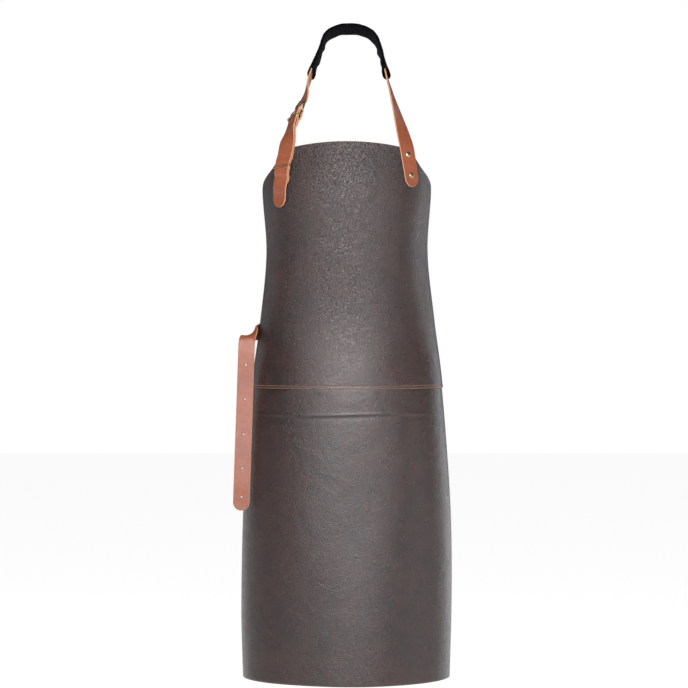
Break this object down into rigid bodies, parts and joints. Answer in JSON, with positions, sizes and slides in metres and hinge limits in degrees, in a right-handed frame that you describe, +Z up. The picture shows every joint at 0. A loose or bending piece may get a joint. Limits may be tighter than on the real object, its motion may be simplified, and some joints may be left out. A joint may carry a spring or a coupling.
{
  "type": "welding apron",
  "caption": "Leather bib apron lapped at a stitched waist seam, on a buckled neck strap with a fabric sleeve and a buckled waist strap.",
  "frame": {"origin": "on the inner face of the fabric sleeve, where the back of the wearer's neck carries it", "axes": "+Z up, -Y the front that faces away from the wearer, +X to the right as seen from the front"},
  "size_m": [0.3953, 0.2515, 1.1948],
  "materials": {
    "apron_leather": "waxed, pebbled, satin",
    "strap_leather": "smooth vegetable-tanned bridle leather",
    "sleeve_fabric": "closely woven matt cotton",
    "thread": "waxed twisted thread",
    "antique_brass": "antique brass plate"
  },
  "bodies": {
    "neck_loop": {"neck_strap": "strap_leather", "neck_strap_slot_sides": "strap_leather", "neck_sleeve": "sleeve_fabric", "neck_buckle_strap": "strap_leather", "neck_fold_sides": "strap_leather", "neck_fold_rivet_cap": "antique_brass", "neck_fold_rivet_back": "antique_brass"},
    "neck_buckle": {"neck_buckle_frame": "antique_brass"},
    "neck_prong": {"neck_buckle_prong": "antique_brass"},
    "neck_keeper_loop": {"neck_keeper": "antique_brass"},
    "apron": {"bib_panel": "apron_leather", "skirt_panel": "apron_leather", "waist_seam_thread": "thread", "neck_strap_end": "strap_leather", "neck_buckle_strap_end": "strap_leather", "neck_strap_tip": "strap_leather", "bib_rivet_caps": "antique_brass", "bib_rivet_backs": "antique_brass", "waist_strap": "strap_leather", "waist_strap_slot_sides": "strap_leather", "waist_buckle_strap": "strap_leather", "waist_fold_sides": "strap_leather", "waist_rivet_caps": "antique_brass", "waist_rivet_backs": "antique_brass", "waist_fold_rivet_cap": "antique_brass", "waist_fold_rivet_back": "antique_brass"},
    "bib_ring": {"tail_ring": "antique_brass"},
    "waist_buckle": {"waist_buckle_frame": "antique_brass"},
    "waist_prong": {"waist_buckle_prong": "antique_brass"},
    "waist_keeper_loop": {"waist_keeper": "antique_brass"},
    "waist_tail": {"waist_strap_tail": "strap_leather"}
  },
  "joints": [
    {"name": "bib_swing", "type": "hinge", "parent": "neck_loop", "child": "apron", "pos_m": [0, -0.1486, -0.22589], "axis": [-1, 0, 0], "range_deg": [0, 75]},
    {"name": "neck_buckle_tilt", "type": "hinge", "parent": "neck_loop", "child": "neck_buckle", "pos_m": [-0.08869, -0.10685, -0.16583], "axis": [0.5019, -0.7932, 0.3449], "range_deg": [0, 6]},
    {"name": "neck_prong_swing", "type": "hinge", "parent": "neck_buckle", "child": "neck_prong", "pos_m": [-0.08869, -0.10685, -0.16583], "axis": [0.5019, -0.7932, 0.3449], "range_deg": [0, 50]},
    {"name": "neck_keeper_slide", "type": "slide", "parent": "neck_loop", "child": "neck_keeper_loop", "axis": [0.2434, 0.5121, 0.8237], "range_m": [-0.002, 0.004]},
    {"name": "bib_ring_slide", "type": "slide", "parent": "apron", "child": "bib_ring", "axis": [0.144, 0.0585, 0.9878], "range_m": [-0.004, 0.004]},
    {"name": "waist_buckle_tilt", "type": "hinge", "parent": "apron", "child": "waist_buckle", "pos_m": [-0.07982, 0.03691, -0.53489], "axis": [0, 0, 1], "range_deg": [0, 6]},
    {"name": "waist_prong_swing", "type": "hinge", "parent": "waist_buckle", "child": "waist_prong", "pos_m": [-0.07982, 0.03691, -0.53489], "axis": [0, 0, 1], "range_deg": [0, 50]},
    {"name": "waist_keeper_slide", "type": "slide", "parent": "apron", "child": "waist_keeper_loop", "axis": [0.9193, 0.3936, 0], "range_m": [-0.002, 0.004]},
    {"name": "waist_tail_swing", "type": "hinge", "parent": "apron", "child": "waist_tail", "pos_m": [-0.1795, -0.1026, -0.5709], "axis": [-0.9574, 0.2025, 0.2059], "range_deg": [0, 90]}
  ]
}
